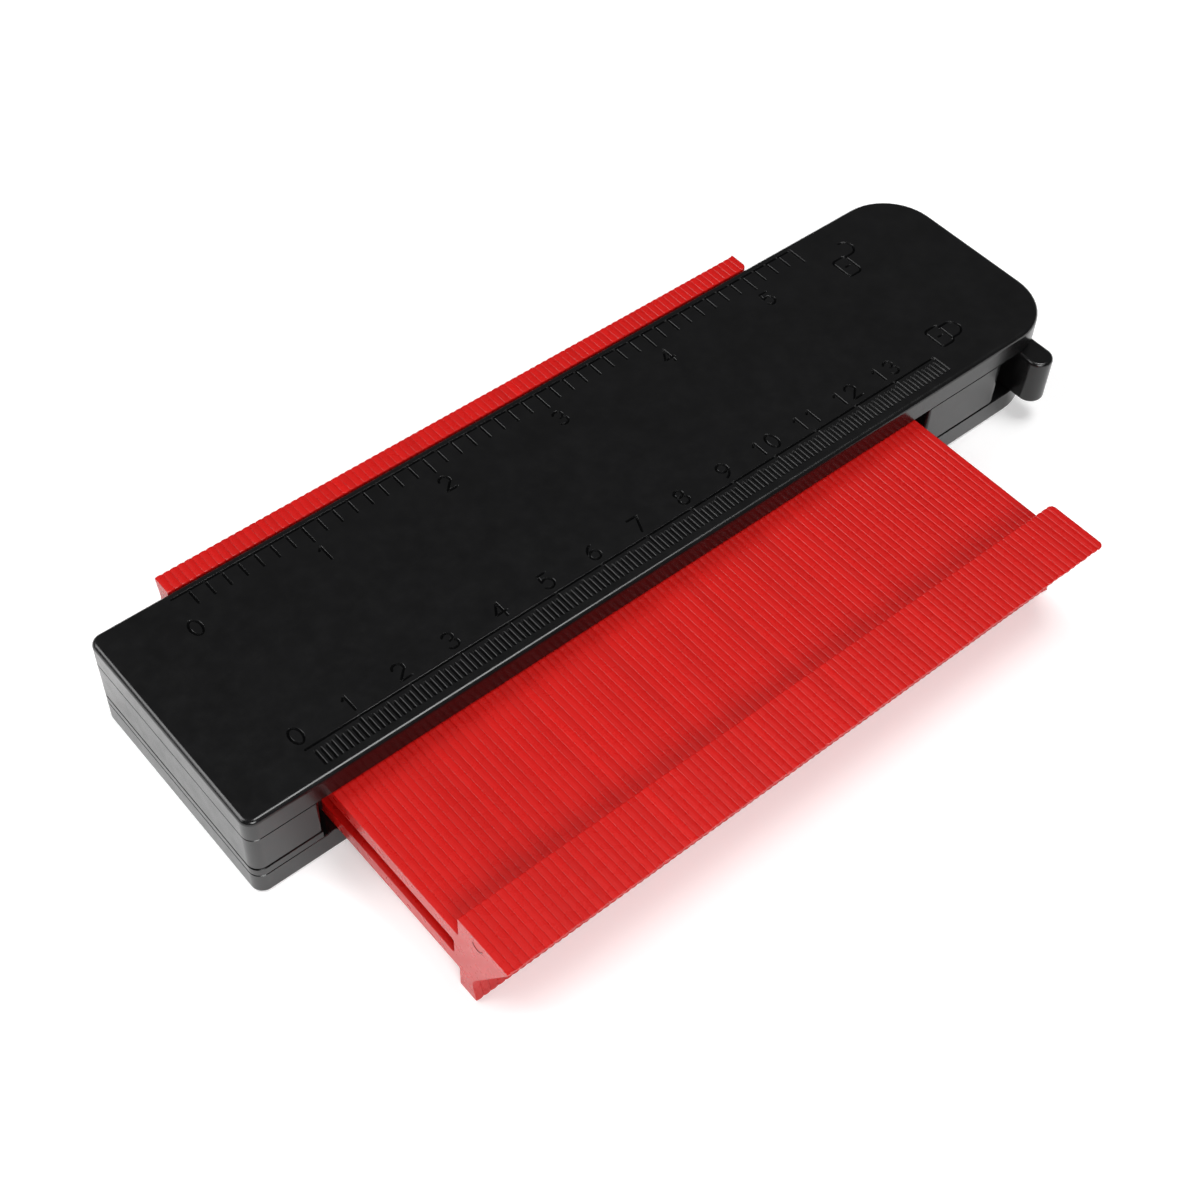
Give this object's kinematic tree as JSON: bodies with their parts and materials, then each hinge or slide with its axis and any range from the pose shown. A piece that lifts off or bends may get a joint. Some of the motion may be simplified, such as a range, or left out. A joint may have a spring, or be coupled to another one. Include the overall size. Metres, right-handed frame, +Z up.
{
  "type": "contour gauge",
  "caption": "Flat contour gauge: a black body with a row of thin red sliding tines that copy an outline, and a cam lever at one end that clamps them.",
  "frame": {"origin": "centre of the body's flat underside", "axes": "+X along the row of tines towards the lever end, -Y towards the long-nosed front ends of the tines, +Z up"},
  "size_m": [0.184, 0.102, 0.02],
  "materials": {
    "black_abs": "moulded plastic, satin, fine even grain",
    "red_abs": "moulded plastic, semi-gloss",
    "steel": "plain drawn steel"
  },
  "bodies": {
    "frame": {"top_cover": "black_abs", "bottom_cover": "black_abs", "plain_end_block": "black_abs", "lever_end_block": "black_abs", "front_guide_rod": "steel", "back_guide_rod": "steel", "lever_pin": "steel", "case_screws": "steel"},
    "lever": {"lock_lever": "black_abs"},
    "clamp": {"pressure_plate": "black_abs", "plunger": "steel"},
    "tine_pair_01": {"tine_pair_01": "red_abs"},
    "tine_pair_02": {"tine_pair_02": "red_abs"},
    "tine_pair_03": {"tine_pair_03": "red_abs"},
    "tine_pair_04": {"tine_pair_04": "red_abs"},
    "tine_pair_05": {"tine_pair_05": "red_abs"},
    "tine_pair_06": {"tine_pair_06": "red_abs"},
    "tine_pair_07": {"tine_pair_07": "red_abs"},
    "tine_pair_08": {"tine_pair_08": "red_abs"},
    "tine_pair_09": {"tine_pair_09": "red_abs"},
    "tine_pair_10": {"tine_pair_10": "red_abs"},
    "tine_pair_11": {"tine_pair_11": "red_abs"},
    "tine_pair_12": {"tine_pair_12": "red_abs"},
    "tine_pair_13": {"tine_pair_13": "red_abs"},
    "tine_pair_14": {"tine_pair_14": "red_abs"},
    "tine_pair_15": {"tine_pair_15": "red_abs"},
    "tine_pair_16": {"tine_pair_16": "red_abs"},
    "tine_pair_17": {"tine_pair_17": "red_abs"},
    "tine_pair_18": {"tine_pair_18": "red_abs"},
    "tine_pair_19": {"tine_pair_19": "red_abs"},
    "tine_pair_20": {"tine_pair_20": "red_abs"},
    "tine_pair_21": {"tine_pair_21": "red_abs"},
    "tine_pair_22": {"tine_pair_22": "red_abs"},
    "tine_pair_23": {"tine_pair_23": "red_abs"},
    "tine_pair_24": {"tine_pair_24": "red_abs"},
    "tine_pair_25": {"tine_pair_25": "red_abs"},
    "tine_pair_26": {"tine_pair_26": "red_abs"},
    "tine_pair_27": {"tine_pair_27": "red_abs"},
    "tine_pair_28": {"tine_pair_28": "red_abs"},
    "tine_pair_29": {"tine_pair_29": "red_abs"},
    "tine_pair_30": {"tine_pair_30": "red_abs"},
    "tine_pair_31": {"tine_pair_31": "red_abs"},
    "tine_pair_32": {"tine_pair_32": "red_abs"},
    "tine_pair_33": {"tine_pair_33": "red_abs"},
    "tine_pair_34": {"tine_pair_34": "red_abs"},
    "tine_pair_35": {"tine_pair_35": "red_abs"},
    "tine_pair_36": {"tine_pair_36": "red_abs"},
    "tine_pair_37": {"tine_pair_37": "red_abs"},
    "tine_pair_38": {"tine_pair_38": "red_abs"},
    "tine_pair_39": {"tine_pair_39": "red_abs"},
    "tine_pair_40": {"tine_pair_40": "red_abs"},
    "tine_pair_41": {"tine_pair_41": "red_abs"},
    "tine_pair_42": {"tine_pair_42": "red_abs"},
    "tine_pair_43": {"tine_pair_43": "red_abs"},
    "tine_pair_44": {"tine_pair_44": "red_abs"},
    "tine_pair_45": {"tine_pair_45": "red_abs"},
    "tine_pair_46": {"tine_pair_46": "red_abs"}
  },
  "joints": [
    {"name": "lever_turn", "type": "hinge", "parent": "frame", "child": "lever", "pos_m": [0.08393, 0, 0.01], "axis": [0, 0, 1], "range_deg": [0, 180]},
    {"name": "clamp_slide", "type": "slide", "parent": "frame", "child": "clamp", "axis": [1, 0, 0], "range_m": [0, 0.0013]},
    {"name": "tine_pair_01_slide", "type": "slide", "parent": "frame", "child": "tine_pair_01", "axis": [0, 1, 0], "range_m": [0, 0.0316]},
    {"name": "tine_pair_02_slide", "type": "slide", "parent": "frame", "child": "tine_pair_02", "axis": [0, 1, 0], "range_m": [0, 0.0316]},
    {"name": "tine_pair_03_slide", "type": "slide", "parent": "frame", "child": "tine_pair_03", "axis": [0, 1, 0], "range_m": [0, 0.0316]},
    {"name": "tine_pair_04_slide", "type": "slide", "parent": "frame", "child": "tine_pair_04", "axis": [0, 1, 0], "range_m": [0, 0.0316]},
    {"name": "tine_pair_05_slide", "type": "slide", "parent": "frame", "child": "tine_pair_05", "axis": [0, 1, 0], "range_m": [0, 0.0316]},
    {"name": "tine_pair_06_slide", "type": "slide", "parent": "frame", "child": "tine_pair_06", "axis": [0, 1, 0], "range_m": [0, 0.0316]},
    {"name": "tine_pair_07_slide", "type": "slide", "parent": "frame", "child": "tine_pair_07", "axis": [0, 1, 0], "range_m": [0, 0.0316]},
    {"name": "tine_pair_08_slide", "type": "slide", "parent": "frame", "child": "tine_pair_08", "axis": [0, 1, 0], "range_m": [0, 0.0316]},
    {"name": "tine_pair_09_slide", "type": "slide", "parent": "frame", "child": "tine_pair_09", "axis": [0, 1, 0], "range_m": [0, 0.0316]},
    {"name": "tine_pair_10_slide", "type": "slide", "parent": "frame", "child": "tine_pair_10", "axis": [0, 1, 0], "range_m": [0, 0.0316]},
    {"name": "tine_pair_11_slide", "type": "slide", "parent": "frame", "child": "tine_pair_11", "axis": [0, 1, 0], "range_m": [0, 0.0316]},
    {"name": "tine_pair_12_slide", "type": "slide", "parent": "frame", "child": "tine_pair_12", "axis": [0, 1, 0], "range_m": [0, 0.0316]},
    {"name": "tine_pair_13_slide", "type": "slide", "parent": "frame", "child": "tine_pair_13", "axis": [0, 1, 0], "range_m": [0, 0.0316]},
    {"name": "tine_pair_14_slide", "type": "slide", "parent": "frame", "child": "tine_pair_14", "axis": [0, 1, 0], "range_m": [0, 0.0316]},
    {"name": "tine_pair_15_slide", "type": "slide", "parent": "frame", "child": "tine_pair_15", "axis": [0, 1, 0], "range_m": [0, 0.0316]},
    {"name": "tine_pair_16_slide", "type": "slide", "parent": "frame", "child": "tine_pair_16", "axis": [0, 1, 0], "range_m": [0, 0.0316]},
    {"name": "tine_pair_17_slide", "type": "slide", "parent": "frame", "child": "tine_pair_17", "axis": [0, 1, 0], "range_m": [0, 0.0316]},
    {"name": "tine_pair_18_slide", "type": "slide", "parent": "frame", "child": "tine_pair_18", "axis": [0, 1, 0], "range_m": [0, 0.0316]},
    {"name": "tine_pair_19_slide", "type": "slide", "parent": "frame", "child": "tine_pair_19", "axis": [0, 1, 0], "range_m": [0, 0.0316]},
    {"name": "tine_pair_20_slide", "type": "slide", "parent": "frame", "child": "tine_pair_20", "axis": [0, 1, 0], "range_m": [0, 0.0316]},
    {"name": "tine_pair_21_slide", "type": "slide", "parent": "frame", "child": "tine_pair_21", "axis": [0, 1, 0], "range_m": [0, 0.0316]},
    {"name": "tine_pair_22_slide", "type": "slide", "parent": "frame", "child": "tine_pair_22", "axis": [0, 1, 0], "range_m": [0, 0.0316]},
    {"name": "tine_pair_23_slide", "type": "slide", "parent": "frame", "child": "tine_pair_23", "axis": [0, 1, 0], "range_m": [0, 0.0316]},
    {"name": "tine_pair_24_slide", "type": "slide", "parent": "frame", "child": "tine_pair_24", "axis": [0, 1, 0], "range_m": [0, 0.0316]},
    {"name": "tine_pair_25_slide", "type": "slide", "parent": "frame", "child": "tine_pair_25", "axis": [0, 1, 0], "range_m": [0, 0.0316]},
    {"name": "tine_pair_26_slide", "type": "slide", "parent": "frame", "child": "tine_pair_26", "axis": [0, 1, 0], "range_m": [0, 0.0316]},
    {"name": "tine_pair_27_slide", "type": "slide", "parent": "frame", "child": "tine_pair_27", "axis": [0, 1, 0], "range_m": [0, 0.0316]},
    {"name": "tine_pair_28_slide", "type": "slide", "parent": "frame", "child": "tine_pair_28", "axis": [0, 1, 0], "range_m": [0, 0.0316]},
    {"name": "tine_pair_29_slide", "type": "slide", "parent": "frame", "child": "tine_pair_29", "axis": [0, 1, 0], "range_m": [0, 0.0316]},
    {"name": "tine_pair_30_slide", "type": "slide", "parent": "frame", "child": "tine_pair_30", "axis": [0, 1, 0], "range_m": [0, 0.0316]},
    {"name": "tine_pair_31_slide", "type": "slide", "parent": "frame", "child": "tine_pair_31", "axis": [0, 1, 0], "range_m": [0, 0.0316]},
    {"name": "tine_pair_32_slide", "type": "slide", "parent": "frame", "child": "tine_pair_32", "axis": [0, 1, 0], "range_m": [0, 0.0316]},
    {"name": "tine_pair_33_slide", "type": "slide", "parent": "frame", "child": "tine_pair_33", "axis": [0, 1, 0], "range_m": [0, 0.0316]},
    {"name": "tine_pair_34_slide", "type": "slide", "parent": "frame", "child": "tine_pair_34", "axis": [0, 1, 0], "range_m": [0, 0.0316]},
    {"name": "tine_pair_35_slide", "type": "slide", "parent": "frame", "child": "tine_pair_35", "axis": [0, 1, 0], "range_m": [0, 0.0316]},
    {"name": "tine_pair_36_slide", "type": "slide", "parent": "frame", "child": "tine_pair_36", "axis": [0, 1, 0], "range_m": [0, 0.0316]},
    {"name": "tine_pair_37_slide", "type": "slide", "parent": "frame", "child": "tine_pair_37", "axis": [0, 1, 0], "range_m": [0, 0.0316]},
    {"name": "tine_pair_38_slide", "type": "slide", "parent": "frame", "child": "tine_pair_38", "axis": [0, 1, 0], "range_m": [0, 0.0316]},
    {"name": "tine_pair_39_slide", "type": "slide", "parent": "frame", "child": "tine_pair_39", "axis": [0, 1, 0], "range_m": [0, 0.0316]},
    {"name": "tine_pair_40_slide", "type": "slide", "parent": "frame", "child": "tine_pair_40", "axis": [0, 1, 0], "range_m": [0, 0.0316]},
    {"name": "tine_pair_41_slide", "type": "slide", "parent": "frame", "child": "tine_pair_41", "axis": [0, 1, 0], "range_m": [0, 0.0316]},
    {"name": "tine_pair_42_slide", "type": "slide", "parent": "frame", "child": "tine_pair_42", "axis": [0, 1, 0], "range_m": [0, 0.0316]},
    {"name": "tine_pair_43_slide", "type": "slide", "parent": "frame", "child": "tine_pair_43", "axis": [0, 1, 0], "range_m": [0, 0.0316]},
    {"name": "tine_pair_44_slide", "type": "slide", "parent": "frame", "child": "tine_pair_44", "axis": [0, 1, 0], "range_m": [0, 0.0316]},
    {"name": "tine_pair_45_slide", "type": "slide", "parent": "frame", "child": "tine_pair_45", "axis": [0, 1, 0], "range_m": [0, 0.0316]},
    {"name": "tine_pair_46_slide", "type": "slide", "parent": "frame", "child": "tine_pair_46", "axis": [0, 1, 0], "range_m": [0, 0.0316]}
  ],
  "couplings": [
    {"joint": "lever_turn", "follows": "clamp_slide", "rad_per_m": 2416.6}
  ]
}
